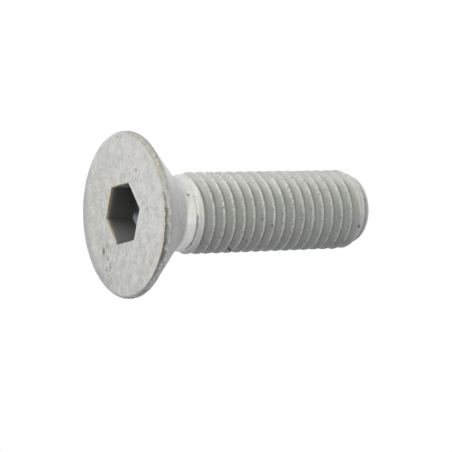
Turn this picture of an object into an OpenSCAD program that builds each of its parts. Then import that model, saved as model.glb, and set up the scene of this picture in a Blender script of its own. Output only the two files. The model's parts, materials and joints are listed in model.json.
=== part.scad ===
// Countersunk screw with a hexagon socket, standing on its head.
// Lengths are millimetres. The screw's axis is Z: the flat face of the head rests on the
// ground at zero, and the point is at the screw's length.

/* [Head] */
// Diameter of the head at its rim
head_d = 24; // [18:0.5:32]
// Full angle of the countersunk cone
head_angle = 90; // [60:5:110]
// Distance from the face to the start of the cone, at the rim
rim_land = 0.75; // [0.6:0.05:1.5]
// Radius of the rounded edge round the face
rim_round = 0.55; // [0.1:0.05:0.55]
// Radius of the fillet where the cone runs into the neck
neck_fillet = 1.2; // [0.4:0.1:2]

/* [Socket] */
// Width of the hexagon socket across its flats
socket_flats = 8; // [5:0.5:10]
// Depth of the socket to the end of its flats
socket_depth = 4.6; // [3:0.1:6]
// Full angle of the conical floor of the socket
socket_floor_angle = 120; // [100:5:150]
// Turn of the socket about the screw's axis, from a corner that points along X
socket_turn = 5; // [0:1:60]

/* [Shank] */
// Overall length, from the head's face to the point
screw_length = 40.4; // [25:0.1:80]
// Diameter of the plain neck under the head
neck_d = 11; // [10.2:0.1:11.6]
// Length of the plain neck, from the end of the cone to the first thread
neck_length = 1.5; // [1:0.25:8]
// Diameter of the flat at the point
point_d = 9.7; // [7:0.1:9.8]
// Length of the chamfer at the point
point_length = 2.3; // [1:0.1:4]

/* [Thread] */
// Major diameter of the thread
thread_d = 12; // [11.7:0.05:14]
// Pitch of the thread
pitch = 1.75; // [1.25:0.05:2]
// Angle between the flanks of the thread
flank_angle = 60; // [50:1:65]
// Length over which the thread rises out of the neck
runout_length = 2; // [0.5:0.1:3]

/* [Hidden] */
$fn = 96;

// Radii of the turned outline
head_r = head_d / 2;
neck_r = neck_d / 2;
thread_r = thread_d / 2;
point_r = point_d / 2;

// Places along the axis
cone_half = head_angle / 2;
cone_end = rim_land + (head_r - neck_r) / tan(cone_half);
thread_start = cone_end + neck_length;
chamfer_start = screw_length - point_length;

// Fillet under the head: an arc that touches the cone and the neck
fillet_reach = neck_fillet * tan(cone_half / 2);
fillet_centre = [neck_r + neck_fillet, cone_end + fillet_reach];
fillet_on_cone = [neck_r + fillet_reach * sin(cone_half), cone_end - fillet_reach * cos(cone_half)];

// Thread form: a crest flat of an eighth of the pitch, straight flanks, a root flat
crest_width = pitch / 8;
root_width = pitch / 6;
flank_width = (pitch - crest_width - root_width) / 2;
root_r = thread_r - flank_width / tan(flank_angle / 2);
// Depth of the thread's first turn inside the neck
neck_cover = 0.06;
// Steps of the thread in one turn
turn_steps = 36;
// On the X side, the middles of the crests are whole pitches from the head's face
crest_middle = flank_width + crest_width / 2;
buried_crest = pitch * floor((thread_start - pitch - neck_cover + crest_middle) / pitch);
helix_start = buried_crest - crest_middle;
helix_turns = ceil((screw_length - helix_start) / pitch) + 1;
helix_steps = helix_turns * turn_steps;

// How fast the chamfer at the point closes in
chamfer_slope = (thread_r - point_r) / point_length;

// How far cutting shapes reach past the surfaces that they cut
cut_reach = 1;

zinc = [0.74, 0.75, 0.74];

// Outline of the head and neck, as radius and distance from the face
module head_outline() {
    difference() {
        union() {
            polygon([
                [0, 0],
                [head_r - rim_round, 0],
                [head_r, rim_round],
                [head_r, rim_land],
                fillet_on_cone,
                [neck_r, fillet_centre.y],
                [neck_r, thread_start],
                [0, thread_start]
            ]);
            translate([head_r - rim_round, rim_round]) circle(r = rim_round);
        }
        translate(fillet_centre) circle(r = neck_fillet);
    }
}

module head_and_neck() {
    rotate_extrude() head_outline();
}

// The hexagon socket with its drilled floor, as the space to cut away
module hex_socket() {
    floor_depth = socket_flats / 2 / tan(socket_floor_angle / 2);
    rotate([0, 0, socket_turn])
        translate([0, 0, -cut_reach])
            cylinder(d = socket_flats / cos(30), h = socket_depth + cut_reach, $fn = 6);
    translate([0, 0, socket_depth])
        cylinder(r1 = socket_flats / 2, r2 = 0, h = floor_depth);
}

// Share of the full thread depth at a distance along the axis
function thread_rise(z) = min(1, max(0, (z - thread_start) / runout_length));

// Radius at one of the four corners of the thread form: root, crest, crest, root
function corner_r(corner, z) =
    let (
        start_r = neck_r - neck_cover,
        full_r = corner == 1 || corner == 2 ? thread_r : root_r
    )
    start_r + (full_r - start_r) * thread_rise(z);

// Place of each corner along the axis, from the first root
corner_z = [0, flank_width, flank_width + crest_width, 2 * flank_width + crest_width];

// A corner of the thread form at one step along the helix
function thread_point(step, corner) =
    let (
        angle = 360 * step / turn_steps,
        z = helix_start + pitch * step / turn_steps + corner_z[corner],
        r = corner_r(corner, z)
    )
    [r * cos(angle), r * sin(angle), z];

// Index of a corner in the list of thread points
function at(step, corner) = 4 * step + corner;

// Two triangles for each quad of a strip
function strip(a, b, c, d) = [[a, d, c], [a, c, b]];

// A fan from one point round a loop
function fan(centre, loop) = [for (i = [0 : len(loop) - 1]) [centre, loop[i], loop[(i + 1) % len(loop)]]];

// The threaded rod, as one closed surface of strips that follow the helix
module threaded_rod() {
    last = helix_steps;
    points = [for (step = [0 : last]) for (corner = [0 : 3]) thread_point(step, corner)];
    ends = [[0, 0, points[at(0, 0)].z], [0, 0, points[at(last, 3)].z]];
    flanks_and_crest = [
        for (step = [0 : last - 1])
            for (corner = [0 : 2])
                each strip(at(step, corner), at(step + 1, corner),
                           at(step + 1, corner + 1), at(step, corner + 1))
    ];
    roots = [
        for (step = [0 : last - turn_steps - 1])
            each strip(at(step, 3), at(step + 1, 3),
                       at(step + 1 + turn_steps, 0), at(step + turn_steps, 0))
    ];
    start_loop = concat([for (step = [0 : turn_steps]) at(step, 0)], [at(0, 3), at(0, 2), at(0, 1)]);
    end_loop = concat([for (corner = [0 : 3]) at(last, corner)],
                      [for (step = [1 : turn_steps]) at(last - step, 3)]);
    polyhedron(
        points = concat(points, ends),
        faces = concat(flanks_and_crest, roots,
                       fan(len(points), start_loop), fan(len(points) + 1, end_loop)),
        convexity = 10
    );
}

// The rod cut to length, with the chamfer at its point
module shank() {
    clear_r = thread_r + cut_reach;
    intersection() {
        threaded_rod();
        rotate_extrude()
            polygon([
                [0, 0],
                [clear_r, 0],
                [clear_r, chamfer_start - cut_reach / chamfer_slope],
                [point_r, screw_length],
                [0, screw_length]
            ]);
    }
}

// The whole screw, from one piece of steel
module screw() {
    color(zinc)
        difference() {
            union() {
                head_and_neck();
                shank();
            }
            hex_socket();
        }
}

screw();
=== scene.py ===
"""Galvanised countersunk screw with a hexagon socket, standing on its head.

The screw is modelled in millimetres on its own axis, Z, from the head's flat face at zero to
the point, and is then brought to metres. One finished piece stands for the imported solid.
"""
import json
import logging
import math
from contextlib import contextmanager
from dataclasses import dataclass
from enum import Enum
from typing import Any, Callable, Iterator

import bmesh
import bpy
import numpy as np
from mathutils import Matrix, Quaternion, Vector

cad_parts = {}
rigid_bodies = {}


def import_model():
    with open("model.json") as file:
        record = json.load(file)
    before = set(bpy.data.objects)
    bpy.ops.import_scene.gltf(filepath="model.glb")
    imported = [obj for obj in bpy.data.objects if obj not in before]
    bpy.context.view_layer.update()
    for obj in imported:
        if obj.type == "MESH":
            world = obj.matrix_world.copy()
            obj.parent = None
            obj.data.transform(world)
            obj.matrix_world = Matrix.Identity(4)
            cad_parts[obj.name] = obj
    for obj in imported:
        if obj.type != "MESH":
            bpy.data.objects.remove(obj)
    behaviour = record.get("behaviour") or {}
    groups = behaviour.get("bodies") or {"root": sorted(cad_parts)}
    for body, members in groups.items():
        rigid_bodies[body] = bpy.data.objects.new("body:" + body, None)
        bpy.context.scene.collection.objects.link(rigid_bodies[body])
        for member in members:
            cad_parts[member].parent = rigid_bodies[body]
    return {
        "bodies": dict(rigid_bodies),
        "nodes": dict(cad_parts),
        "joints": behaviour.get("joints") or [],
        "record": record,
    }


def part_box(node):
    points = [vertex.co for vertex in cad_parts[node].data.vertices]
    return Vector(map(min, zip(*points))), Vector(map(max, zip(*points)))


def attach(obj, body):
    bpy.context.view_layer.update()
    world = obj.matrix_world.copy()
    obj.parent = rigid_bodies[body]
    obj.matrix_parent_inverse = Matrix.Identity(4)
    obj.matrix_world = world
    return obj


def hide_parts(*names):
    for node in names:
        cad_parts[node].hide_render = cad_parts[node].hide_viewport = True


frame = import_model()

LOG = logging.getLogger("screw")
METRES_PER_MM = 0.001
SAME_HEIGHT = 2e-3

Place = tuple[float, float, float]
Colour = tuple[float, float, float, float]


class Group(Enum):
    """Vertex groups that say where the zinc lies unevenly."""

    SKIN = "skin"
    CREST = "crest"
    RIM = "rim"
    FACE = "face"


class Mask(Enum):
    """Attributes of the finished mesh that its material reads."""

    CREST = "crest_height"
    SOCKET = "socket_depth"
    MOUTH = "mouth_gap"


@dataclass(frozen=True)
class ScrewSizes:
    """The screw's sizes, in millimetres."""

    head_r: float
    length: float
    rim_land: float
    cone_length: float
    thread_start: float
    thread_r: float
    socket_depth: float
    socket_flats: float = 8.15
    socket_turn: float = 5.0
    socket_offset: tuple[float, float] = (-0.13, 0.11)
    socket_floor_angle: float = 120.0
    mouth_bevel: float = 0.14
    floor_inset: float = 0.02
    face_dish: float = 0.02
    rim_round: float = 0.55
    rim_soft: float = 0.08
    neck_fillet: float = 1.2
    neck_gap: float = 0.25
    pitch: float = 1.75
    flank_angle: float = 60.0
    runout: float = 2.0
    point_r: float = 4.85
    point_length: float = 2.3
    point_round: float = 0.3
    point_soft: float = 0.12
    point_fill: float = 0.9
    point_fill_rise: float = 1.2
    ring_drop: float = 1.0
    ring_depth: float = 0.1
    ring_width: float = 0.22
    crest_blur: float = 0.04
    root_blur: float = 0.24

    @classmethod
    def from_frame(cls, packed: dict[str, Any]) -> "ScrewSizes":
        """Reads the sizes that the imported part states.

        Args:
            packed: What the frame's loader returned.

        Returns:
            The sizes of the screw.
        """
        low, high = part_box("screw")
        mounts = {mount["name"]: mount for mount in packed["record"]["mounts"]}
        seat = mounts["countersink_seat"]
        thread = mounts["thread"]
        return cls(
            head_r=(high.x - low.x) / 2 / METRES_PER_MM,
            length=high.z / METRES_PER_MM,
            rim_land=seat["pos_m"][2] / METRES_PER_MM,
            cone_length=seat["dims"]["length_mm"],
            thread_start=thread["pos_m"][2] / METRES_PER_MM,
            thread_r=thread["dims"]["r_mm"],
            socket_depth=mounts["drive_socket"]["dims"]["length_mm"],
        )

    @property
    def neck_r(self) -> float:
        """Radius of the plain neck: the head's cone closes in by its own length."""
        return self.head_r - self.cone_length

    @property
    def face_r(self) -> float:
        """Radius of the flat part of the face."""
        return self.head_r - self.rim_round

    @property
    def socket_end(self) -> float:
        """Height past the tip of the socket's floor."""
        return self.socket_depth + 3

    @property
    def crest_half(self) -> float:
        """Half the width of the flat on a crest."""
        return self.pitch / 16

    @property
    def root_half(self) -> float:
        """Half the width of the flat at a root."""
        return self.pitch / 12

    @property
    def root_r(self) -> float:
        """Radius at the bottom of the thread."""
        flank = self.pitch / 2 - self.crest_half - self.root_half
        return self.thread_r - flank / math.tan(math.radians(self.flank_angle / 2))


@dataclass(frozen=True)
class MeshFineness:
    """How finely the piece is modelled."""

    columns: int = 288
    face_rings: int = 42
    rim_steps: int = 8
    cone_steps: int = 26
    fillet_steps: int = 8
    neck_steps: int = 10
    thread_steps: int = 168
    thread_points: int = 16
    floor_rings: int = 6
    point_rings: int = 8


class Bench:
    """Small helpers for modelling with operators."""

    @staticmethod
    def clear() -> None:
        """Leaves nothing selected, in object mode."""
        if bpy.context.object is not None and bpy.context.object.mode != "OBJECT":
            bpy.ops.object.mode_set(mode="OBJECT")
        bpy.ops.object.select_all(action="DESELECT")

    @staticmethod
    def take(piece: bpy.types.Object) -> None:
        """Makes one object the only one selected, and the active one."""
        Bench.clear()
        piece.select_set(True)
        bpy.context.view_layer.objects.active = piece

    @staticmethod
    @contextmanager
    def editing(piece: bpy.types.Object) -> Iterator[None]:
        """Opens an object in edit mode, by vertices, and closes it again."""
        Bench.take(piece)
        bpy.ops.object.mode_set(mode="EDIT")
        bpy.ops.mesh.select_mode(type="VERT")
        yield
        bpy.ops.object.mode_set(mode="OBJECT")

    @staticmethod
    def pick_rims(piece: bpy.types.Object, test: Callable[[Vector], bool]) -> None:
        """Selects the open edges of the mesh in edit mode that lie at wanted places.

        Args:
            piece: The object in edit mode.
            test: Says whether both ends of an edge are at a wanted place.
        """
        bpy.ops.mesh.select_all(action="DESELECT")
        shape = bmesh.from_edit_mesh(piece.data)
        for edge in shape.edges:
            if edge.is_boundary and all(test(vertex.co) for vertex in edge.verts):
                edge.select = True
        bmesh.update_edit_mesh(piece.data)

    @staticmethod
    def pull(step: Place) -> None:
        """Extrudes what is selected by a step."""
        bpy.ops.mesh.extrude_region_move(TRANSFORM_OT_translate={"value": step})

    @staticmethod
    def spread(factor: float, centre: Place = (0, 0, 0)) -> None:
        """Scales what is selected across the axis, about a centre."""
        bpy.ops.transform.resize(value=(factor, factor, 1), center_override=centre)

    @staticmethod
    def places(piece: bpy.types.Object) -> np.ndarray:
        """Gives the places of all vertices as rows of three numbers."""
        flat = np.empty(len(piece.data.vertices) * 3, np.float32)
        piece.data.vertices.foreach_get("co", flat)
        return flat.reshape(-1, 3).astype(float)

    @staticmethod
    def put(piece: bpy.types.Object, places: np.ndarray) -> None:
        """Moves all vertices to new places."""
        piece.data.vertices.foreach_set("co", places.astype(np.float32).ravel())
        piece.data.update()


@dataclass
class Head:
    """The countersunk head: socket, face, rim, cone and plain neck as one open shell."""

    sizes: ScrewSizes
    fineness: MeshFineness

    def build(self) -> bpy.types.Object:
        """Models the head from its socket outwards.

        Returns:
            The head, open at the end of its neck.
        """
        piece = self._socket_walls()
        with Bench.editing(piece):
            self._lathe_outside()
            self._lathe_floor()
            self._bridge(piece, (0.0, self.sizes.face_dish), self.fineness.face_rings)
            self._bridge(piece, (self.sizes.socket_depth,), 1)
        return piece

    def _socket_walls(self) -> bpy.types.Object:
        """Draws the hexagon and extrudes it to the bottom of the socket."""
        sizes = self.sizes
        mouth = sizes.socket_flats / 2 + sizes.mouth_bevel
        centre = (*sizes.socket_offset, 0.0)
        Bench.clear()
        bpy.ops.mesh.primitive_circle_add(vertices=6, radius=mouth / math.cos(math.radians(30)),
                                          location=(0, 0, sizes.face_dish))
        bpy.ops.object.transform_apply(location=True, rotation=False, scale=False)
        piece = bpy.context.object
        piece.name = "screw_body"
        with Bench.editing(piece):
            bpy.ops.mesh.select_all(action="SELECT")
            bpy.ops.mesh.subdivide(number_cuts=self.fineness.columns // 6 - 1)
            corner = math.atan2(piece.data.vertices[0].co.y, piece.data.vertices[0].co.x)
            turn = math.radians(sizes.socket_turn) - corner
            bpy.ops.transform.rotate(value=-turn, orient_axis="Z", center_override=(0, 0, 0))
            bpy.ops.transform.translate(value=centre)
            reach = mouth
            depth = sizes.face_dish
            for new_reach, new_depth in self._wall_profile():
                Bench.pull((0, 0, new_depth - depth))
                Bench.spread(new_reach / reach, centre)
                reach, depth = new_reach, new_depth
        return piece

    def _wall_profile(self) -> list[tuple[float, float]]:
        """Lists the socket's half width and depth from its bevelled mouth to its bottom."""
        sizes = self.sizes
        half = sizes.socket_flats / 2
        bevel = sizes.mouth_bevel
        arc = [math.radians(angle) for angle in (22.5, 45, 67.5, 90)]
        lip = sizes.face_dish
        profile = [(half + bevel * (1 - math.sin(a)), lip + bevel * (1 - math.cos(a))) for a in arc]
        share = [0.04, 0.08, 0.13, 0.2, 0.3, 0.45, 0.65, 0.85, 1.0]
        start = lip + bevel
        profile += [(half, start + (sizes.socket_depth - start) * part) for part in share]
        return profile

    def outside_profile(self) -> list[tuple[float, float]]:
        """Lists the radius and height of the outside, from the face's edge to the neck's end."""
        sizes, fine = self.sizes, self.fineness
        points = []
        for step in range(1, fine.rim_steps + 1):
            angle = math.radians(90) * step / fine.rim_steps
            points.append((sizes.face_r + sizes.rim_round * math.sin(angle),
                           sizes.rim_round * (1 - math.cos(angle))))
        soft = sizes.rim_soft
        points.append((sizes.head_r, sizes.rim_land - soft))
        points.append((sizes.head_r - soft * 0.25, sizes.rim_land + soft * 0.25))
        reach = sizes.neck_fillet * math.tan(math.radians(22.5))
        cone_end = sizes.rim_land + sizes.cone_length
        fillet_r = sizes.neck_r + reach * math.sin(math.radians(45))
        for step in range(1, fine.cone_steps + 1):
            radius = sizes.head_r - soft + (fillet_r - sizes.head_r + soft) * step / fine.cone_steps
            points.append((radius, sizes.rim_land + sizes.head_r - radius))
        for step in range(1, fine.fillet_steps + 1):
            angle = math.radians(45) * (1 - step / fine.fillet_steps)
            points.append((sizes.neck_r + sizes.neck_fillet * (1 - math.cos(angle)),
                           cone_end + reach - sizes.neck_fillet * math.sin(angle)))
        start = cone_end + reach
        end = self.neck_end
        for step in range(1, fine.neck_steps + 1):
            points.append((sizes.neck_r, start + (end - start) * step / fine.neck_steps))
        return points

    @property
    def neck_end(self) -> float:
        """Height at which the neck stops and the thread's own shell takes over."""
        return self.sizes.thread_start - self.sizes.neck_gap

    def _lathe_outside(self) -> None:
        """Draws the edge of the face as a circle and extrudes it along the outside."""
        bpy.ops.mesh.primitive_circle_add(vertices=self.fineness.columns, radius=self.sizes.face_r)
        radius, height = self.sizes.face_r, 0.0
        for new_radius, new_height in self.outside_profile():
            Bench.pull((0, 0, new_height - height))
            Bench.spread(new_radius / radius)
            radius, height = new_radius, new_height

    def _lathe_floor(self) -> None:
        """Draws the drilled floor of the socket, from its edge down to its tip."""
        sizes = self.sizes
        radius = sizes.socket_flats / 2 - sizes.floor_inset
        centre = (*sizes.socket_offset, sizes.socket_depth)
        slope = 1 / math.tan(math.radians(sizes.socket_floor_angle / 2))
        bpy.ops.mesh.primitive_circle_add(vertices=self.fineness.columns, radius=radius, location=centre)
        step = radius / self.fineness.floor_rings
        for ring in range(self.fineness.floor_rings - 1):
            old = radius - step * ring
            Bench.pull((0, 0, step * slope))
            Bench.spread((old - step) / old, centre)
        Bench.pull((0, 0, step * slope))
        bpy.ops.mesh.merge(type="CENTER")

    @staticmethod
    def _bridge(piece: bpy.types.Object, heights: tuple[float, ...], rings: int) -> None:
        """Fills between the two open loops at some heights with rings of faces."""
        Bench.pick_rims(piece, lambda co: any(abs(co.z - height) < SAME_HEIGHT for height in heights))
        bpy.ops.mesh.bridge_edge_loops(number_cuts=rings, interpolation="LINEAR")


@dataclass
class Thread:
    """The threaded shank with its run-out and its rounded point."""

    sizes: ScrewSizes
    fineness: MeshFineness

    def build(self) -> bpy.types.Object:
        """Winds one ridge up the shank, fades it into the neck and closes the point.

        Returns:
            The threaded shank, open where it meets the neck.
        """
        piece = self._wound_ridge()
        self._fade_ends(piece)
        with Bench.editing(piece):
            self._trim(self.sizes.thread_start, keep_above=True)
            self._trim(self.sizes.length, keep_above=False)
            bpy.ops.mesh.select_all(action="SELECT")
            bpy.ops.mesh.remove_doubles(threshold=0.004)
            self._close_point(piece)
        return piece

    def ridge_r(self, offset: float) -> float:
        """Gives the radius of the coated ridge at a distance from its crest, along the axis."""
        sizes = self.sizes
        towards_root = min(abs(offset) / (sizes.pitch / 2), 1)
        blur = sizes.crest_blur + sizes.root_blur * towards_root ** 2

        def sharp(place: float) -> float:
            """Gives the radius of the bare ridge, with its sharp flats."""
            from_crest = abs((place + sizes.pitch / 2) % sizes.pitch - sizes.pitch / 2)
            drop = (from_crest - sizes.crest_half) / math.tan(math.radians(sizes.flank_angle / 2))
            return sizes.thread_r - min(max(drop, 0), sizes.thread_r - sizes.root_r)

        taps = [sharp(offset + blur * tap / 4) for tap in range(-4, 5)]
        return sum(taps) / len(taps)

    def _wound_ridge(self) -> bpy.types.Object:
        """Draws the ridge's outline over one pitch and winds it with the Screw modifier."""
        sizes, fine = self.sizes, self.fineness
        first_crest = sizes.pitch * math.floor(sizes.thread_start / sizes.pitch - 1)
        offsets = [sizes.pitch * (step / fine.thread_points - 0.5) for step in range(fine.thread_points + 1)]
        outline = [Vector((self.ridge_r(offset), 0, first_crest + offset)) for offset in offsets]
        Bench.clear()
        bpy.ops.mesh.primitive_plane_add(size=1)
        piece = bpy.context.object
        with Bench.editing(piece):
            bpy.ops.mesh.select_all(action="SELECT")
            bpy.ops.mesh.merge(type="CENTER")
            bpy.ops.transform.translate(value=outline[0])
            for old, new in zip(outline, outline[1:]):
                bpy.ops.mesh.extrude_vertices_move(TRANSFORM_OT_translate={"value": new - old})
        winding = piece.modifiers.new("winding", "SCREW")
        winding.axis = "Z"
        winding.angle = math.tau
        winding.screw_offset = sizes.pitch
        winding.iterations = math.ceil((sizes.length - first_crest) / sizes.pitch) + 2
        winding.steps = fine.thread_steps
        winding.render_steps = fine.thread_steps
        Bench.take(piece)
        bpy.ops.object.modifier_apply(modifier=winding.name)
        with Bench.editing(piece):
            bpy.ops.mesh.select_all(action="SELECT")
            bpy.ops.mesh.remove_doubles(threshold=0.002)
        return piece

    def _fade_ends(self, piece: bpy.types.Object) -> None:
        """Lets the ridge rise out of the neck, and rounds it off towards the point."""
        sizes = self.sizes
        places = Bench.places(piece)
        radius = np.hypot(places[:, 0], places[:, 1])
        height = places[:, 2]
        rise = np.clip((height - sizes.thread_start) / sizes.runout, 0, 1)
        wanted = sizes.neck_r + (radius - sizes.neck_r) * rise
        limit = self._point_limit(height)
        filled = np.clip((height - sizes.length + sizes.point_length) / sizes.point_fill_rise, 0, 1)
        wanted += (np.maximum(limit, wanted) - wanted) * filled * sizes.point_fill
        gap = np.clip((wanted - limit) / sizes.point_soft, -1, 1)
        eased = np.minimum(wanted, limit) - sizes.point_soft * (1 - np.abs(gap)) ** 2 / 4
        wanted = np.where(gap > -1, eased, wanted)
        places[:, :2] *= (wanted / radius)[:, None]
        Bench.put(piece, places)

    def _point_limit(self, height: np.ndarray) -> np.ndarray:
        """Gives the radius that the chamfered point leaves at some heights."""
        sizes = self.sizes
        slope = (sizes.thread_r - sizes.point_r) / sizes.point_length
        limit = sizes.point_r + slope * (sizes.length - height)
        into_round = np.clip((height - sizes.length) / sizes.point_round + 1, 0, 1)
        limit -= sizes.point_round * (1 - np.sqrt(1 - into_round ** 2))
        from_ring = (height - sizes.length + sizes.ring_drop) / sizes.ring_width
        return limit - sizes.ring_depth * np.exp(-from_ring ** 2)

    @staticmethod
    def _trim(height: float, keep_above: bool) -> None:
        """Cuts the mesh in edit mode square across at one height."""
        bpy.ops.mesh.select_all(action="SELECT")
        bpy.ops.mesh.bisect(plane_co=(0, 0, height), plane_no=(0, 0, 1), threshold=0.001,
                            clear_inner=keep_above, clear_outer=not keep_above)

    def _close_point(self, piece: bpy.types.Object) -> None:
        """Closes the flat end of the point with rings down to its middle."""
        height = self.sizes.length
        Bench.pick_rims(piece, lambda co: abs(co.z - height) < SAME_HEIGHT)
        rings = self.fineness.point_rings
        for ring in range(rings - 1):
            Bench.pull((0, 0, 0))
            Bench.spread((rings - ring - 1) / (rings - ring))
        Bench.pull((0, 0, 0))
        bpy.ops.mesh.merge(type="CENTER")


@dataclass(frozen=True)
class Pit:
    """A mark in the face's zinc: its middle, length, width and depth in millimetres."""

    middle: tuple[float, float]
    length: float
    width: float
    turn: float
    depth: float


@dataclass(frozen=True)
class Seam:
    """The line on the neck where the thread's first ridge starts.

    Turns are in radians, and the rest is in millimetres.
    """

    start: float = math.radians(-112)
    end: float = math.radians(5)
    height: float = 9.32
    slope: float = 0.28
    middle: float = math.radians(-90)
    depth: float = 0.14
    width: float = 0.16


@dataclass
class ZincCoat:
    """The uneven zinc on the screw: a wavy skin, lumps on crests and rim, a seam and a few pits."""

    sizes: ScrewSizes
    seam: Seam = Seam()
    pits: tuple[Pit, ...] = (
        Pit(middle=(-7.09, -1.93), length=0.55, width=0.3, turn=70, depth=0.16),
        Pit(middle=(6.65, 3.95), length=1.1, width=0.5, turn=-20, depth=0.14),
        Pit(middle=(6.85, 3.25), length=1.2, width=0.55, turn=-10, depth=-0.12),
        Pit(middle=(8.00, 2.00), length=0.55, width=0.5, turn=0, depth=-0.14),
        Pit(middle=(8.58, 1.95), length=0.5, width=0.5, turn=40, depth=-0.14),
        Pit(middle=(8.95, 2.80), length=0.5, width=0.45, turn=0, depth=-0.12),
        Pit(middle=(9.23, 1.80), length=0.45, width=0.45, turn=0, depth=-0.12),
    )

    def lay_on(self, piece: bpy.types.Object) -> None:
        """Shapes the coat on the bare form.

        Args:
            piece: The screw's closed mesh, in millimetres.
        """
        self._weigh(piece)
        self._displace(piece, "coat_skin", Group.SKIN, grain=1.6, height=0.04)
        self._displace(piece, "coat_face", Group.FACE, grain=0.6, height=0.04)
        self._displace(piece, "coat_rim", Group.RIM, grain=0.45, height=0.16)
        self._displace(piece, "coat_crests", Group.CREST, grain=0.3, height=0.1)
        self._press_pits(piece)
        self._cut_seam(piece)

    def _cut_seam(self, piece: bpy.types.Object) -> None:
        """Cuts the seam's groove into the neck and raises the ridge beside it."""
        seam = self.seam
        places = Bench.places(piece)
        turn = np.arctan2(places[:, 1], places[:, 0])
        radius = np.hypot(places[:, 0], places[:, 1])
        along = np.clip((turn - seam.start) / 0.25, 0, 1) * np.clip((seam.end - turn) / 0.25, 0, 1)
        line = seam.height + seam.slope * (turn - seam.middle)
        off = (places[:, 2] - line) / seam.width
        change = np.exp(-(off - 2.5) ** 2 / 3) - np.exp(-off ** 2)
        places[:, :2] *= (1 + seam.depth * along * change / np.maximum(radius, 1))[:, None]
        Bench.put(piece, places)

    def _weigh(self, piece: bpy.types.Object) -> None:
        """Fills the vertex groups by place."""
        sizes = self.sizes
        places = Bench.places(piece)
        radius = np.hypot(places[:, 0], places[:, 1])
        height = places[:, 2]
        outside = (radius > sizes.socket_flats / 2 + 1) | (height > sizes.socket_end)
        crest = np.clip((radius - sizes.thread_r + 0.4) / 0.3, 0, 1) * (height > sizes.thread_start + 0.4)
        turn = np.arctan2(places[:, 1], places[:, 0])
        first_ridge = (height > self.seam.height + 0.1) & (height < self.seam.height + 1.1)
        first_ridge &= np.abs(turn + 1.2) < 0.8
        crest = np.maximum(crest, 0.7 * first_ridge)
        rim = np.exp(-((radius - sizes.head_r + 0.2) / 0.35) ** 2) * (height < sizes.rim_land + 0.6)
        rim *= np.clip(0.5 - places[:, 1] / sizes.head_r, 0.15, 1)
        face = np.clip((sizes.face_r - radius) / 0.6, 0, 1) * (height < 0.02) * outside
        weights = {Group.SKIN: outside * 1.0, Group.CREST: crest, Group.RIM: rim, Group.FACE: face}
        for group, values in weights.items():
            store = piece.vertex_groups.new(name=group.value)
            for index in np.flatnonzero(values > 0.01):
                store.add([int(index)], float(values[index]), "REPLACE")

    @staticmethod
    def _displace(piece: bpy.types.Object, name: str, group: Group, grain: float, height: float) -> None:
        """Raises and sinks part of the surface by a cloudy pattern.

        Args:
            piece: The screw's mesh, in millimetres.
            name: Name of the pattern.
            group: Vertex group that the pattern is held to.
            grain: Size of the lumps, in millimetres.
            height: Height from the lowest to the highest place, in millimetres.
        """
        pattern = bpy.data.textures.new(name, "CLOUDS")
        pattern.noise_scale = grain
        pattern.noise_depth = 2
        coat = piece.modifiers.new(name, "DISPLACE")
        coat.texture = pattern
        coat.texture_coords = "LOCAL"
        coat.strength = height
        coat.mid_level = 0.5
        coat.vertex_group = group.value
        Bench.take(piece)
        bpy.ops.object.modifier_apply(modifier=coat.name)

    def _press_pits(self, piece: bpy.types.Object) -> None:
        """Presses the pits into the face, and raises those of negative depth."""
        places = Bench.places(piece)
        on_face = places[:, 2] < 0.1
        for pit in self.pits:
            along = math.radians(pit.turn)
            aside = places[:, :2] - np.array(pit.middle)
            length = aside @ np.array([math.cos(along), math.sin(along)])
            width = aside @ np.array([-math.sin(along), math.cos(along)])
            share = np.exp(-4 * ((length / pit.length) ** 2 + (width / pit.width) ** 2))
            places[:, 2] += np.where(on_face, pit.depth * share, 0)
        Bench.put(piece, places)


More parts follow.
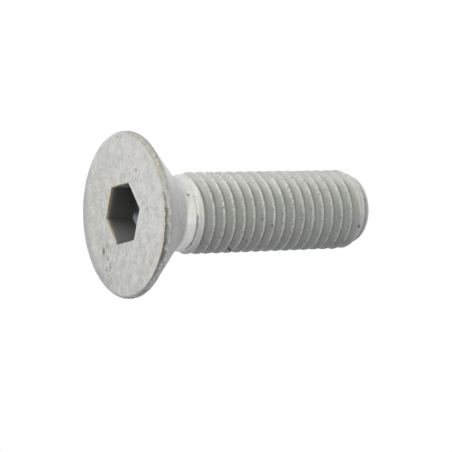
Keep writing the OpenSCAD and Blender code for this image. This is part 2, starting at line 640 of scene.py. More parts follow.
class NodeDesk:
    """Adds shader nodes and links without fuss."""

    def __init__(self, tree: bpy.types.NodeTree) -> None:
        """Keeps the tree that nodes are added to, and empties it."""
        self.tree = tree
        tree.nodes.clear()

    def add(self, kind: str, **settings: Any) -> bpy.types.Node:
        """Adds a node and sets its properties.

        Args:
            kind: The node's type name, without its common start.
            settings: Properties of the node.

        Returns:
            The new node.
        """
        node = self.tree.nodes.new("ShaderNode" + kind)
        for name, value in settings.items():
            setattr(node, name, value)
        return node

    def feed(self, socket: bpy.types.NodeSocket, source: Any) -> None:
        """Links another socket to this one, or sets a constant on it."""
        if isinstance(source, bpy.types.NodeSocket):
            self.tree.links.new(source, socket)
        else:
            socket.default_value = source

    def math(self, operation: str, *inputs: Any) -> bpy.types.NodeSocket:
        """Works out a number from one to three numbers."""
        node = self.add("Math", operation=operation)
        for socket, source in zip(node.inputs, inputs):
            self.feed(socket, source)
        return node.outputs[0]

    def product(self, *factors: Any) -> bpy.types.NodeSocket:
        """Multiplies two or more numbers."""
        result = factors[0]
        for factor in factors[1:]:
            result = self.math("MULTIPLY", result, factor)
        return result

    def total(self, *parts: tuple[Any, float]) -> bpy.types.NodeSocket:
        """Adds up numbers, each times its own share."""
        result = self.math("MULTIPLY", *parts[0])
        for value, share in parts[1:]:
            result = self.math("MULTIPLY_ADD", value, share, result)
        return result

    def ramp(self, value: Any, low: float, high: float, to_low: float = 0.0,
             to_high: float = 1.0) -> bpy.types.NodeSocket:
        """Maps a number smoothly from one range to another, held at its ends."""
        node = self.add("MapRange", interpolation_type="SMOOTHSTEP")
        for name, source in (("Value", value), ("From Min", low), ("From Max", high),
                             ("To Min", to_low), ("To Max", to_high)):
            self.feed(node.inputs[name], source)
        return node.outputs["Result"]

    def fall(self, value: Any, start: float, end: float, top: float = 1.0) -> bpy.types.NodeSocket:
        """Maps a number smoothly from a top, up to a start, down to zero past an end."""
        return self.ramp(value, start, end, top, 0.0)

    def noise(self, place: Any, scale: float, detail: float = 3.0,
              roughness: float = 0.6) -> bpy.types.NodeSocket:
        """Gives a cloudy number from 0 to 1."""
        node = self.add("TexNoise")
        self.feed(node.inputs["Vector"], place)
        for name, value in (("Scale", scale), ("Detail", detail), ("Roughness", roughness)):
            self.feed(node.inputs[name], value)
        return node.outputs["Fac"]

    def mix(self, share: Any, first: Any, second: Any) -> bpy.types.NodeSocket:
        """Mixes two colours."""
        node = self.add("Mix", data_type="RGBA")
        self.feed(node.inputs["Factor"], share)
        first_socket, second_socket = (socket for socket in node.inputs if socket.type == "RGBA")
        self.feed(first_socket, first)
        self.feed(second_socket, second)
        return next(socket for socket in node.outputs if socket.type == "RGBA")


@dataclass(frozen=True)
class Spot:
    """A small mark on the zinc, such as a fault, a painted glint or painted shade: its place and radius in
    millimetres, and how strong it is.
    """

    place: Place
    size: float
    strength: float


@dataclass(frozen=True)
class ZincFinish:
    """Colours and roughness of the matte zinc, of its faults and of the bare socket, with the colours of its
    painted light and shade.
    """

    light: Colour = (0.68, 0.685, 0.665, 1)
    dark: Colour = (0.46, 0.465, 0.455, 1)
    # Painted highlights on the crests and on the rim's lumps.
    pale: Colour = (0.72, 0.72, 0.69, 1)
    # Smooth zinc on the neck, and painted highlights on the cone, the point, the rim's lumps and the glints.
    smooth: Colour = (0.90, 0.90, 0.88, 1)
    flank: Colour = (0.51, 0.522, 0.50, 1)
    dull: Colour = (0.41, 0.425, 0.40, 1)
    # Dirt and painted shade in the thread's roots.
    root: Colour = (0.19, 0.195, 0.185, 1)
    olive: Colour = (0.37, 0.365, 0.32, 1)
    speck: Colour = (0.10, 0.10, 0.09, 1)
    # Dirt in the seam, the dark band round the rim, and painted shade on the upper rim's outer side.
    dirt_and_shade: Colour = (0.125, 0.11, 0.08, 1)
    shade: Colour = (0.36, 0.365, 0.36, 1)
    stain: Colour = (0.62, 0.57, 0.45, 1)
    rust: Colour = (0.22, 0.13, 0.065, 1)
    lip: Colour = (0.64, 0.66, 0.71, 1)
    bare: Colour = (0.088, 0.091, 0.078, 1)
    # Painted light on the socket's floor.
    floor: Colour = (0.86, 0.92, 0.98, 1)
    roughness: float = 0.6
    metallic: float = 0.12
    sheen: float = 0.25
    seam: Seam = Seam()
    stains: tuple[Spot, ...] = (
        Spot((-9.6, -6.9, 0.15), 0.8, 0.4),
        Spot((-8.6, -8.0, 0.15), 0.8, 0.4),
        Spot((6.6, 4.6, 0.0), 0.7, 0.5),
    )
    # Smudges, and painted shade beside the long pit and along the face's edge on the +X side.
    smudges_and_shade: tuple[Spot, ...] = (
        Spot((5.75, 3.15, 0.0), 0.80, 0.85),
        Spot((6.4, 3.45, 0.0), 0.55, 0.8),
        Spot((4.36, -9.01, 0.0), 0.70, 0.5),
        Spot((-10.49, 4.23, 0.0), 0.35, 0.8),
        Spot((-10.8, 2.97, 0.0), 0.40, 0.5),
        Spot((-9.08, -0.89, 0.0), 0.35, 0.45),
        Spot((-8.53, 0.52, 0.0), 0.30, 0.45),
        Spot((-2.72, -6.08, 0.0), 0.40, 0.6),
        Spot((5.85, -0.22, 0.0), 0.40, 0.5),
        Spot((5.26, -2.34, 0.0), 0.35, 0.5),
        Spot((10.35, -2.37, 0.0), 0.50, 0.5),
        Spot((10.24, 4.34, 0.0), 0.80, 0.85),
        Spot((10.63, 3.18, 0.0), 0.70, 0.85),
        Spot((10.20, 0.90, 0.0), 0.65, 0.7),
        Spot((10.89, 1.62, 0.0), 0.75, 0.8),
    )
    # Painted highlights on the small lumps of the face.
    glints: tuple[Spot, ...] = (
        Spot((6.20, 3.00, 0.0), 0.30, 0.5),
        Spot((6.70, 2.65, 0.0), 0.28, 0.5),
        Spot((8.00, 2.00, 0.0), 0.24, 0.55),
        Spot((8.58, 1.95, 0.0), 0.22, 0.5),
        Spot((9.23, 1.80, 0.0), 0.22, 0.5),
    )
    spots: tuple[Spot, ...] = (
        Spot((6.40, 4.05, 0.1), 0.40, 0.45),
        Spot((6.78, 3.95, 0.1), 0.48, 0.75),
        Spot((7.20, 3.75, 0.1), 0.36, 0.5),
        Spot((7.34, 2.45, 0.0), 0.28, 0.6),
        Spot((7.80, 1.45, 0.0), 0.22, 0.4),
        Spot((8.35, 1.45, 0.0), 0.24, 0.5),
        Spot((8.62, 2.50, 0.0), 0.26, 0.55),
        Spot((9.10, 2.35, 0.0), 0.24, 0.5),
        Spot((9.70, 1.85, 0.0), 0.26, 0.45),
        Spot((-7.09, -1.93, 0.0), 0.30, 0.75),
        Spot((-6.05, -3.70, 0.0), 0.20, 0.45),
        Spot((-3.90, -3.85, 8.08), 0.28, 0.7),
        Spot((-3.76, -4.10, 8.95), 0.16, 0.35),
        Spot((-3.78, -4.18, 9.40), 0.16, 0.35),
        Spot((0.97, -5.87, 38.08), 0.42, 0.8),
        Spot((-2.70, -4.33, 39.45), 0.32, 0.75),
        Spot((2.98, -4.74, 18.81), 0.34, 0.6),
        Spot((3.11, -4.65, 20.68), 0.36, 0.6),
        Spot((4.80, -3.04, 17.05), 0.50, 0.95),
        Spot((-2.54, -5.27, 22.54), 0.40, 0.7),
        Spot((-1.24, -5.67, 22.61), 0.30, 0.6),
        Spot((-0.52, -5.68, 20.32), 0.30, 0.5),
        Spot((0.44, -5.78, 22.11), 0.30, 0.5),
    )

    def material(self, sizes: ScrewSizes) -> bpy.types.Material:
        """Makes the zinc's material.

        Args:
            sizes: The screw's sizes, which place the dirt.

        Returns:
            The material, which reads places in object coordinates.
        """
        return ZincShader(self, sizes).build()


class ZincShader:
    """Builds the zinc's material, one effect over the other."""

    def __init__(self, finish: ZincFinish, sizes: ScrewSizes) -> None:
        """Starts the material with the places that its effects read, in millimetres."""
        self.finish = finish
        self.sizes = sizes
        self.material = bpy.data.materials.new("matte_zinc")
        self.material.use_nodes = True
        desk = NodeDesk(self.material.node_tree)
        scale = desk.add("VectorMath", operation="SCALE")
        desk.feed(scale.inputs[0], desk.add("TexCoord").outputs["Object"])
        scale.inputs["Scale"].default_value = 1 / METRES_PER_MM
        split = desk.add("SeparateXYZ")
        desk.feed(split.inputs[0], scale.outputs[0])
        self.desk = desk
        self.place = scale.outputs[0]
        self.across, self.aside, self.height = split.outputs
        self.radius = desk.math("SQRT", desk.math("ADD", desk.product(self.across, self.across),
                                                  desk.product(self.aside, self.aside)))
        self.turn = desk.math("ARCTAN2", self.aside, self.across)
        self.grain = desk.noise(self.place, 7.0, 2.0)
        self.wander = desk.math("SUBTRACT", desk.noise(self.place, 2.2), 0.5)
        self.cloud = desk.noise(self.place, 1.1)
        self.far_wall = desk.ramp(self.aside, 0.4, 2.2)
        self.colour: Any = finish.light
        self.smoothness: Any = 0.0

    def build(self) -> bpy.types.Material:
        """Lays the effects on, from the plain zinc to the bare socket.

        Returns:
            The finished material.
        """
        blotch = self._mottle()
        self._painted_cone_highlight()
        self._thread()
        self._point()
        self._thread_specks()
        self._neck()
        self._seam_line()
        self._neck_dots()
        self._stained_edge()
        self._upper_rim()
        self._rim_lumps()
        self._dark_rim_band()
        self._head_shade()
        self._spots()
        self._mouth()
        self._socket_inside()
        self._surface(blotch)
        return self.material

    def _mask(self, mask: Mask) -> bpy.types.NodeSocket:
        """Reads one of the mesh's own attributes."""
        return self.desk.add("Attribute", attribute_name=mask.value).outputs["Fac"]

    def _tint(self, share: Any, colour: Colour) -> None:
        """Mixes a colour over what is there."""
        self.colour = self.desk.mix(share, self.colour, colour)

    def _by_turn(self, first: float, last: float, to_first: float, to_last: float) -> bpy.types.NodeSocket:
        """Maps the turn about the axis smoothly between two angles in degrees."""
        return self.desk.ramp(self.turn, math.radians(first), math.radians(last), to_first, to_last)

    def _mottle(self) -> bpy.types.NodeSocket:
        """Lays the cloudy grey of the zinc, drawn out a little across the face, with painted shade that
        darkens it towards +X and +Y.

        Returns:
            The blotches, which roughen the surface too.
        """
        desk = self.desk
        head_r = self.sizes.head_r
        streaks = desk.add("Mapping")
        desk.feed(streaks.inputs["Vector"], self.place)
        streaks.inputs["Scale"].default_value = (0.9, 1.2, 1.0)
        cloud = desk.noise(streaks.outputs[0], 0.55, 3.0)
        blotch = desk.noise(streaks.outputs[0], 2.3, 4.0, 0.65)
        tone = desk.total((cloud, 0.35), (blotch, 0.4), (self.grain, 0.25))
        # Painted shade: the grey darkens towards +X and +Y, the side away from the light.
        lean = desk.total((self.aside, 0.7), (self.across, 0.7))
        tone = desk.math("ADD", tone, desk.ramp(lean, -head_r, head_r, 0.035, -0.045))
        contrast = desk.math("MULTIPLY_ADD", desk.fall(self.height, 0.3, 1.2), 0.5, 0.5)
        tone = desk.math("MULTIPLY_ADD", desk.math("SUBTRACT", tone, 0.5), contrast, 0.5)
        self.colour = desk.mix(desk.ramp(tone, 0.4, 0.6), self.finish.dark, self.finish.light)
        return blotch

    def _painted_cone_highlight(self) -> None:
        """Paints a highlight on the upper, -X side of the cone."""
        desk = self.desk
        upper = desk.fall(self.across, -9.0, -4.5, 0.8)
        cone = desk.product(desk.ramp(self.height, 0.7, 1.0), desk.fall(self.height, 7.0, 8.0))
        self._tint(desk.product(upper, cone), self.finish.smooth)

    def _threaded(self) -> bpy.types.NodeSocket:
        """Says how much of the thread's own dress a place has, by its height."""
        desk = self.desk
        start, end = self.sizes.thread_start, self.sizes.length
        return desk.product(desk.ramp(self.height, start + 0.7, start + 1.7),
                            desk.ramp(self.height, end - 3.6, end - 1.4, 1.0, 0.1))

    def _broken(self) -> bpy.types.NodeSocket:
        """Breaks up the painted highlights on the crests and on the point's edge."""
        return self.desk.ramp(self.desk.noise(self.place, 1.3, 4.0, 0.75), 0.42, 0.58, 0.1, 1.0)

    def _thread(self) -> None:
        """Makes the flanks duller, darkens the roots with dirt and painted shade, paints highlights on the
        crests, most of all near the head, and pales the thread towards the point.
        """
        desk = self.desk
        start, end = self.sizes.thread_start, self.sizes.length
        crest = self._mask(Mask.CREST)
        threaded = self._threaded()
        self._tint(desk.ramp(self.height, end - 4.5, end - 1.8, 0.0, 0.22), self.finish.smooth)
        self._tint(desk.product(threaded, desk.fall(crest, 0.75, 0.92), 0.8), self.finish.flank)
        patches = desk.ramp(desk.noise(self.place, 0.45), 0.44, 0.6, 0.0, 0.35)
        self._tint(desk.product(threaded, patches), self.finish.dull)
        # Dirt and painted shade: the roots of the thread are darkened.
        self._tint(desk.product(threaded, desk.fall(crest, 0.06, 0.3, 0.7)), self.finish.root)
        # Painted highlights: the crests are made paler, broken up, most of all near the head.
        ragged = desk.math("MULTIPLY_ADD", self.wander, 0.3, crest)
        towards_head = desk.ramp(self.height, start + 4, end - 2, 1.0, 0.35)
        crest_highlight = desk.product(threaded, desk.ramp(ragged, 0.82, 0.96), self._broken(), towards_head)
        self._tint(crest_highlight, self.finish.pale)

    def _point(self) -> None:
        """Paints shade into the ring of the point, and highlights on the edge beside it and on the end."""
        desk = self.desk
        end = self.sizes.length
        above_ring = desk.math("SUBTRACT", self.height, end - self.sizes.ring_drop)
        # Painted shade in the ring's groove.
        self._tint(desk.fall(desk.math("ABSOLUTE", above_ring), 0.18, 0.42, 0.9), self.finish.shade)
        # Painted highlights: the edge before the ring and the end of the point are paler.
        edge = desk.math("ABSOLUTE", desk.math("ADD", above_ring, 0.42))
        self._tint(desk.product(desk.fall(edge, 0.04, 0.16, 0.3), self._broken()), self.finish.smooth)
        self._tint(desk.ramp(self.height, end - 0.55, end - 0.25, 0.0, 0.6), self.finish.smooth)

    def _thread_specks(self) -> None:
        """Scatters dark specks beside the crests."""
        desk = self.desk
        specks = desk.ramp(desk.noise(self.place, 3.6, 2.0, 0.5), 0.58, 0.66)
        beside = desk.product(desk.ramp(self._mask(Mask.CREST), 0.6, 0.85), self._threaded())
        self._tint(desk.product(specks, beside, 0.65), self.finish.speck)

    def _neck_band(self) -> bpy.types.NodeSocket:
        """Says how much a place is on the plain neck, by its height."""
        desk = self.desk
        start = self.sizes.rim_land + self.sizes.cone_length - 0.5
        end = self.sizes.thread_start + 0.8
        soft = desk.ramp(self.across, -5.0, -1.5, 2.2, 1.1)
        return desk.product(desk.ramp(self.height, start, desk.math("ADD", soft, start)),
                            desk.fall(self.height, end, end + 1.2))

    def _patchy(self) -> bpy.types.NodeSocket:
        """Makes the neck's smoothness and the seam's dirt patchy."""
        return self.desk.ramp(self.desk.noise(self.place, 0.9, 4.0), 0.35, 0.6, 0.7, 1.0)

    def _neck(self) -> None:
        """Makes the neck under the head paler, as smoother zinc, with painted light that makes its +X side
        paler still.
        """
        desk = self.desk
        # Painted light: the neck's paleness grows towards +X.
        lower = desk.ramp(self.across, -5.0, -0.3, 0.62, 1.0)
        self.smoothness = desk.product(self._neck_band(), self._patchy(), lower)
        self._tint(self.smoothness, self.finish.smooth)

    def _seam_line(self) -> None:
        """Draws the dirt in the seam and dulls the first ridge past it."""
        desk = self.desk
        seam = self.finish.seam
        within = desk.product(desk.ramp(self.turn, seam.start, seam.start + 0.2),
                              desk.fall(self.turn, seam.end - 0.1, seam.end))
        line = desk.math("MULTIPLY_ADD", self.turn, seam.slope, seam.height - seam.slope * seam.middle)
        past = desk.math("SUBTRACT", desk.math("MULTIPLY_ADD", self.wander, 0.3, self.height), line)
        in_seam = desk.fall(desk.math("ABSOLUTE", past), 0.05, 0.22, 0.8)
        self._tint(desk.product(within, self._patchy(), in_seam), self.finish.dirt_and_shade)
        along = desk.ramp(self.turn, seam.start - 0.5, seam.start, 0.1, 1.0)
        beyond = desk.ramp(past, 0.1, 0.35, 0.0, 0.75)
        self._tint(desk.product(self._neck_band(), along, beyond), self.finish.flank)

    def _neck_dots(self) -> None:
        """Scatters a few dark dots on the neck."""
        dots = self.desk.ramp(self.desk.noise(self.place, 2.8, 2.0), 0.66, 0.74)
        self._tint(self.desk.product(self._neck_band(), dots, 0.55), self.finish.speck)

    def _near(self) -> bpy.types.NodeSocket:
        """Says how much a place is on the near side of the head."""
        return self.desk.fall(self.aside, -0.5 * self.sizes.head_r, -0.1 * self.sizes.head_r)

    def _lower(self) -> bpy.types.NodeSocket:
        """Says how much a place is on the lower near side of the head."""
        lean = self.desk.total((self.aside, -0.8), (self.across, 0.6))
        return self.desk.ramp(lean, 0.25 * self.sizes.head_r, 0.85 * self.sizes.head_r)

    def _outward(self) -> bpy.types.NodeSocket:
        """Gives the distance outwards from a ragged edge of the flat face."""
        past_edge = self.desk.math("SUBTRACT", self.radius, self.sizes.face_r)
        return self.desk.math("MULTIPLY_ADD", self.wander, 0.55, past_edge)

    def _worst(self) -> bpy.types.NodeSocket:
        """Says how strongly the edge of the face is stained and darkened, by turn."""
        return self.desk.product(self._by_turn(-140, -105, 0.3, 1.0), self._by_turn(-68, -28, 1.0, 0.0))

    def _stained_edge(self) -> None:
        """Draws the brown stain along the near edge of the face."""
        desk = self.desk
        outward = self._outward()
        band = desk.product(desk.ramp(outward, -0.6, -0.25), desk.fall(outward, -0.02, 0.12),
                            desk.fall(self.height, 0.4, 0.6))
        patches = desk.ramp(self.wander, -0.1, 0.08, 0.25, 1.0)
        fading = self._by_turn(-90, -50, 0.8, 0.2)
        self._tint(desk.product(self._near(), self._worst(), band, fading, patches), self.finish.stain)

    def _upper_rim(self) -> None:
        """Draws the olive band on the upper rim, and painted shade as a dark line on the rim's outer side.
        """
        desk = self.desk
        head_r = self.sizes.head_r
        upper = desk.product(desk.fall(self.across, -0.9 * head_r, -0.35 * head_r),
                             desk.fall(self.aside, 0.1 * head_r, 0.45 * head_r))
        band = desk.product(desk.ramp(self._outward(), -0.1, 0.15), desk.fall(self.height, 0.7, 0.85))
        patches = desk.ramp(self.cloud, 0.35, 0.6, 0.85, 0.45)
        self._tint(desk.product(upper, band, patches), self.finish.olive)
        # Painted shade: a dark line on the rim's outer side, which faces away from the light.
        line = desk.product(desk.ramp(self.height, 0.42, 0.52), desk.fall(self.height, 0.66, 0.8))
        edge = desk.ramp(self.radius, head_r - 0.4, head_r - 0.2)
        self._tint(desk.product(upper, line, edge, 0.5), self.finish.dirt_and_shade)

    def _rim_lumps(self) -> None:
        """Paints highlights on the rim's lumps, stronger on the lower near side, and painted shade between
        them.
        """
        desk = self.desk
        head_r = self.sizes.head_r
        lumps = desk.product(desk.ramp(self.radius, head_r - 0.3, head_r - 0.1),
                             desk.fall(self.height, 0.75, 1.0))
        near_lumps = desk.product(self._near(), lumps)
        low_lumps = desk.product(self._lower(), lumps)
        # Painted highlights on the rim's lumps, and painted light on them on the lower near side.
        self._tint(desk.product(near_lumps, desk.ramp(self.wander, 0.0, 0.12, 0.0, 0.45)), self.finish.pale)
        self._tint(desk.product(low_lumps, desk.ramp(self.wander, -0.1, 0.1, 0.1, 0.55)), self.finish.smooth)
        # Painted shade between the lumps.
        lump_shade = desk.ramp(self.wander, -0.14, 0.04, 0.65, 0.1)
        self._tint(desk.product(near_lumps, lump_shade), self.finish.shade)

    def _dark_rim_band(self) -> None:
        """Draws a dark band round the rim's near side."""
        desk = self.desk
        outward = self._outward()
        thick = desk.math("MULTIPLY_ADD", self._lower(), 0.2, self.cloud)
        width = desk.product(self._by_turn(-112, -94, 0.55, 1.0), self._by_turn(-82, -60, 0.36, 0.16),
                             desk.ramp(self.cloud, 0.35, 0.65, 0.6, 1.3))
        band = desk.product(desk.ramp(outward, 0.04, 0.14), self._worst(), desk.fall(self.height, 0.4, 0.6),
                            desk.fall(desk.math("SUBTRACT", outward, width), 0.0, 0.35))
        patches = desk.ramp(thick, 0.46, 0.6, 0.2, 1.0)
        self._tint(desk.product(self._near(), patches, band, 0.9), self.finish.dirt_and_shade)

    def _head_shade(self) -> None:
        """Paints shade on the cone under the rim, and on the edge of the face away from the near side."""
        desk = self.desk
        head_r = self.sizes.head_r
        # Painted shade on the cone just under the rim.
        under_rim = desk.product(desk.ramp(self.height, 0.7, 0.9), desk.fall(self.height, 0.9, 2.8, 0.35))
        upper = desk.fall(self.across, -1.0, 3.0)
        self._tint(desk.product(self._near(), under_rim, upper), self.finish.shade)
        # Painted shade on the face's edge where it turns away from the light.
        lean = desk.total((self.aside, 0.75), (self.across, 0.6))
        edge = desk.product(desk.ramp(lean, 0.35 * head_r, 0.85 * head_r),
                            desk.ramp(self.radius, head_r - 2.1, head_r - 0.9),
                            desk.fall(self.height, 0.5, 0.8))
        self._tint(desk.product(edge, desk.ramp(self.wander, -0.12, 0.12, 1.0, 0.5)), self.finish.shade)

    def _spots(self) -> None:
        """Draws the single marks: faint stains, smudges with painted shade, painted glints and dark spots.
        """
        desk = self.desk
        finish = self.finish
        ragged = desk.product(self.wander, 0.3)
        kinds = ((finish.stains, finish.stain), (finish.smudges_and_shade, finish.shade),
                 (finish.glints, finish.smooth), (finish.spots, finish.speck))
        for spots, colour in kinds:
            for spot in spots:
                reach = desk.add("VectorMath", operation="DISTANCE")
                desk.feed(reach.inputs[0], self.place)
                desk.feed(reach.inputs[1], spot.place)
                distance = desk.math("ADD", reach.outputs["Value"], ragged)
                self._tint(desk.fall(distance, 0.4 * spot.size, 1.1 * spot.size, spot.strength), colour)

    def _mouth(self) -> None:
        """Draws the stain on the far side of the socket's mouth and the pale lip on its near side."""
        desk = self.desk
        gap = self._mask(Mask.MOUTH)
        lip = desk.product(desk.fall(gap, 0.45, 1.0), desk.fall(self.height, 0.3, 0.6))
        self._tint(desk.product(self.far_wall, lip, desk.ramp(gap, 0.1, 0.4, 0.9, 0.2)), self.finish.stain)
        near_wall = desk.fall(self.aside, -2.2, -0.4)
        self._tint(desk.product(near_wall, lip, desk.fall(self.across, 1.2, 2.8, 0.8)), self.finish.lip)

    def _socket_inside(self) -> None:
        """Leaves the socket bare, with painted light on its floor and +X wall, and a rusty edge on its far
        side.
        """
        desk = self.desk
        depth = self._mask(Mask.SOCKET)
        gap = self._mask(Mask.MOUTH)
        floor = self.sizes.socket_depth
        ragged = desk.math("MULTIPLY_ADD", self.wander, 0.35, depth)
        coated = desk.product(desk.ramp(self.across, -3.4, 3.4, 0.3, -0.25), desk.fall(self.aside, 0.5, 2.0))
        inside = desk.product(desk.ramp(desk.math("SUBTRACT", ragged, coated), 0.2, 0.4),
                              desk.fall(gap, 0.15, 0.2))
        self._tint(inside, self.finish.bare)
        # Painted light: the wall grows paler towards +X.
        self._tint(desk.product(inside, desk.ramp(self.across, 1.7, 4.2, 0.0, 0.4)), self.finish.shade)
        self._tint(desk.product(inside, desk.fall(self.across, -3.2, -2.95, 0.8)), self.finish.flank)
        # Painted light: a pale bluish patch on the floor, towards +X.
        bottom = desk.ramp(depth, floor - 0.2, floor - 0.05)
        self._tint(desk.product(bottom, desk.ramp(self.across, 0.7, 1.7, 0.06, 0.95)), self.finish.floor)
        self._tint(desk.product(inside, self.far_wall, desk.fall(depth, 0.2, 1.2, 0.33)), self.finish.olive)
        rusty = desk.product(desk.fall(gap, 0.14, 0.22), desk.fall(ragged, 0.12, 0.32))
        self._tint(desk.product(self.far_wall, rusty, desk.ramp(self.across, 0.2, 1.6, 0.8, 0.4)),
                   self.finish.rust)

    def _surface(self, blotch: bpy.types.NodeSocket) -> None:
        """Roughens the surface and finishes the material."""
        desk = self.desk
        bump = desk.add("Bump")
        desk.feed(bump.inputs["Strength"], desk.ramp(self.height, 0.5, 2.0, 0.4, 0.12))
        bump.inputs["Distance"].default_value = 0.05 * METRES_PER_MM
        desk.feed(bump.inputs["Height"], desk.total((self.grain, 1.0), (blotch, 0.8)))
        shader = desk.add("BsdfPrincipled")
        desk.feed(shader.inputs["Base Color"], self.colour)
        shader.inputs["Roughness"].default_value = self.finish.roughness
        desk.feed(shader.inputs["Metallic"],
                  desk.math("MULTIPLY_ADD", self.smoothness, self.finish.sheen, self.finish.metallic))
        desk.feed(shader.inputs["Normal"], bump.outputs[0])
        desk.feed(desk.add("OutputMaterial").inputs["Surface"], shader.outputs[0])


@dataclass
class Screw:
    """The whole screw: its shells joined, coated with zinc, dressed and set on its body."""

    sizes: ScrewSizes
    fineness: MeshFineness
    finish: ZincFinish

    def build(self) -> bpy.types.Object:
        """Models and dresses the screw.

        Returns:
            The finished piece.
        """
        head = Head(self.sizes, self.fineness)
        piece = head.build()
        LOG.info("head: %d vertices", len(piece.data.vertices))
        shank = Thread(self.sizes, self.fineness).build()
        LOG.info("shank: %d vertices", len(shank.data.vertices))
        self._join(piece, shank, head.neck_end)
        ZincCoat(self.sizes).lay_on(piece)
        self._mark(piece)
        self._to_metres(piece)
        piece.data.materials.clear()
        piece.data.materials.append(self.finish.material(self.sizes))
        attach(piece, "root")
        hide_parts("screw")
        return piece

    def _join(self, piece: bpy.types.Object, shank: bpy.types.Object, neck_end: float) -> None:
        """Makes one closed mesh of the head and the shank."""
        Bench.take(piece)
        shank.select_set(True)
        bpy.ops.object.join()
        top = self.sizes.thread_start
        with Bench.editing(piece):
            Bench.pick_rims(piece, lambda co: min(abs(co.z - neck_end), abs(co.z - top)) < SAME_HEIGHT)
            bpy.ops.mesh.bridge_edge_loops()
            bpy.ops.mesh.select_all(action="SELECT")
            bpy.ops.mesh.normals_make_consistent(inside=False)

    def _mark(self, piece: bpy.types.Object) -> None:
        """Stores what the material reads: height on the thread, and depth in the socket."""
        sizes = self.sizes
        places = Bench.places(piece)
        radius = np.hypot(places[:, 0], places[:, 1])
        height = places[:, 2]
        crest = (radius - sizes.root_r) / (sizes.thread_r - sizes.root_r)
        crest *= height > sizes.thread_start + 0.3
        socket = height * (radius < sizes.socket_flats / 2 / math.cos(math.radians(30)) + 0.5)
        socket *= height < sizes.socket_end
        aside = places[:, :2] - np.array(sizes.socket_offset)
        sides = [math.radians(sizes.socket_turn + 30 + 60 * side) for side in range(6)]
        reach = [aside @ np.array([math.cos(side), math.sin(side)]) for side in sides]
        mouth = np.max(reach, axis=0) - sizes.socket_flats / 2
        mouth = np.where(height < sizes.socket_end, mouth, sizes.head_r)
        for mask, values in ((Mask.CREST, crest), (Mask.SOCKET, socket), (Mask.MOUTH, mouth)):
            store = piece.data.attributes.new(mask.value, "FLOAT", "POINT")
            store.data.foreach_set("value", values.astype(np.float32))

    @staticmethod
    def _to_metres(piece: bpy.types.Object) -> None:
        """Brings the finished mesh from millimetres to metres and shades it."""
        Bench.take(piece)
        piece.scale = (METRES_PER_MM,) * 3
        bpy.ops.object.transform_apply(location=True, rotation=True, scale=True)
        bpy.ops.object.shade_smooth_by_angle(angle=math.radians(50))
        piece.vertex_groups.clear()


@dataclass(frozen=True)
class PhotoCamera:
    """The photograph's view of the screw: from below the head, with the axis level in the picture."""

    target_mm: Place = (2.3054, 0.5527, 18.3328)
    distance_mm: float = 301.04
    azimuth: float = -17.564
    elevation: float = -33.216
    roll: float = -88.245
    lens_mm: float = 161.92

    @property
    def back(self) -> Vector:
        """Direction from the screw to the camera."""
        turn, rise = math.radians(self.azimuth), math.radians(self.elevation)
        return Vector((math.sin(turn) * math.cos(rise), -math.cos(turn) * math.cos(rise), math.sin(rise)))

    @property
    def rotation(self) -> Quaternion:
        """How the camera is turned."""
        level = (-self.back).to_track_quat("-Z", "Y")
        return level @ Quaternion((0, 0, 1), -math.radians(self.roll))

    def place(self) -> bpy.types.Object:
        """Adds the camera and makes it the scene's own."""
        lens = bpy.data.cameras.new("camera")
        lens.lens = self.lens_mm
        lens.clip_start = 0.01
        camera = bpy.data.objects.new("camera", lens)
        camera.rotation_mode = "QUATERNION"
        camera.rotation_quaternion = self.rotation
        camera.location = (Vector(self.target_mm) + self.back * self.distance_mm) * METRES_PER_MM
        bpy.context.scene.collection.objects.link(camera)
        bpy.context.scene.camera = camera
        return camera


@dataclass(frozen=True)
class Lamp:
    """A soft lamp, placed as the picture's own left, up and near directions say."""

    name: str
    left: float
    up: float
    near: float
    power: float
    colour: tuple[float, float, float]
    distance: float = 0.5
    size: float = 0.35


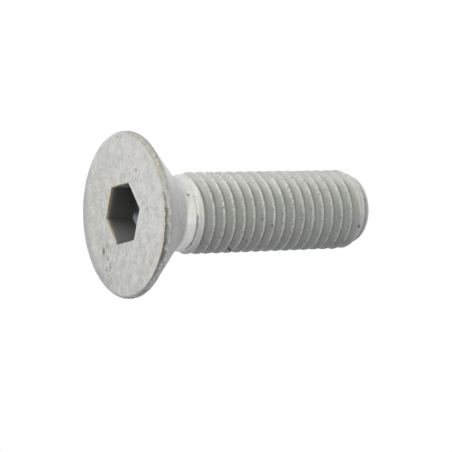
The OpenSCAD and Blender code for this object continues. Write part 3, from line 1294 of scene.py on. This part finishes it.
@dataclass
class Studio:
    """Pale floor, white surroundings and soft lamps."""

    camera: PhotoCamera
    lamps: tuple[Lamp, ...] = (
        Lamp("key", left=0.7, up=0.7, near=0.3, power=1.42, colour=(1.0, 0.96, 0.92)),
        Lamp("top", left=0.0, up=0.65, near=0.75, power=0.54, colour=(0.95, 1.0, 0.97)),
        Lamp("front", left=0.0, up=0.0, near=1.0, power=0.54, colour=(0.95, 0.92, 1.0)),
        Lamp("right", left=-0.65, up=0.0, near=0.75, power=0.54, colour=(0.98, 1.0, 0.55)),
        Lamp("back_right", left=-0.6, up=0.6, near=-0.5, power=0.95, colour=(0.9, 0.88, 1.0)),
        Lamp("back_left", left=0.8, up=0.0, near=-0.6, power=1.0, colour=(1.0, 1.0, 0.98)),
        Lamp("below", left=-0.6, up=-0.6, near=0.5, power=0.36, colour=(0.5, 0.5, 1.0)),
    )
    ambient: float = 0.025
    floor_size: float = 4.0
    floor_drop: float = 0.00015
    floor_paint: Colour = (0.88, 0.88, 0.83, 1)
    floor_glow: float = 0.42

    def build(self) -> None:
        """Sets up the floor, the surroundings and the lamps."""
        self._floor()
        self._surroundings()
        for lamp in self.lamps:
            self._light(lamp)
        bpy.context.scene.view_settings.view_transform = "Standard"

    def _floor(self) -> None:
        """Lays the floor under the head. It shows from above only, so the face can be looked at."""
        Bench.clear()
        bpy.ops.mesh.primitive_plane_add(size=self.floor_size, location=(0, 0, -self.floor_drop))
        floor = bpy.context.object
        floor.name = "floor"
        material = bpy.data.materials.new("pale_floor")
        material.use_nodes = True
        desk = NodeDesk(material.node_tree)
        path = desk.add("LightPath")
        behind = desk.add("NewGeometry").outputs["Backfacing"]
        shown = desk.math("MULTIPLY", path.outputs["Is Camera Ray"], desk.math("SUBTRACT", 1.0, behind))
        paint = desk.add("BsdfDiffuse")
        paint.inputs["Color"].default_value = self.floor_paint
        glow = desk.add("Emission")
        glow.inputs["Strength"].default_value = self.floor_glow
        lit = desk.add("AddShader")
        desk.feed(lit.inputs[0], paint.outputs[0])
        desk.feed(lit.inputs[1], glow.outputs[0])
        mixer = desk.add("MixShader")
        desk.feed(mixer.inputs[0], shown)
        desk.feed(mixer.inputs[1], desk.add("BsdfTransparent").outputs[0])
        desk.feed(mixer.inputs[2], lit.outputs[0])
        desk.feed(desk.add("OutputMaterial").inputs["Surface"], mixer.outputs[0])
        floor.data.materials.append(material)

    def _surroundings(self) -> None:
        """Makes the surroundings white to the eye, and a soft even light to the screw."""
        world = bpy.data.worlds.new("studio")
        world.use_nodes = True
        desk = NodeDesk(world.node_tree)
        path = desk.add("LightPath")
        seen = path.outputs["Is Camera Ray"]
        for ray in ("Is Glossy Ray", "Is Transmission Ray"):
            seen = desk.math("MAXIMUM", seen, path.outputs[ray])
        white = desk.add("Background")
        soft = desk.add("Background")
        soft.inputs["Strength"].default_value = self.ambient
        mixer = desk.add("MixShader")
        desk.feed(mixer.inputs[0], seen)
        for socket, background in ((mixer.inputs[1], soft), (mixer.inputs[2], white)):
            background.inputs["Color"].default_value = (1, 1, 1, 1)
            desk.feed(socket, background.outputs[0])
        desk.feed(desk.add("OutputWorld").inputs["Surface"], mixer.outputs[0])
        bpy.context.scene.world = world

    def _light(self, lamp: Lamp) -> None:
        """Hangs one lamp and aims it at the screw."""
        turned: Matrix = self.camera.rotation.to_matrix()
        right, up, near = turned.col
        direction = (-right * lamp.left + up * lamp.up + near * lamp.near).normalized()
        data = bpy.data.lights.new(lamp.name, "AREA")
        data.shape = "DISK"
        data.size = lamp.size
        data.energy = lamp.power
        data.color = lamp.colour
        lit = bpy.data.objects.new(lamp.name, data)
        target = Vector(self.camera.target_mm) * METRES_PER_MM
        lit.location = target + direction * lamp.distance
        lit.rotation_mode = "QUATERNION"
        lit.rotation_quaternion = (-direction).to_track_quat("-Z", "Y")
        bpy.context.scene.collection.objects.link(lit)


def main() -> None:
    """Builds the screw and its studio."""
    logging.basicConfig(level=logging.INFO, format="%(name)s: %(message)s")
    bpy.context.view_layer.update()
    sizes = ScrewSizes.from_frame(frame)
    piece = Screw(sizes, MeshFineness(), ZincFinish()).build()
    LOG.info("%s: %d triangles", piece.name, sum(len(face.vertices) - 2 for face in piece.data.polygons))
    camera = PhotoCamera()
    camera.place()
    Studio(camera).build()


if __name__ == "__main__":
    main()
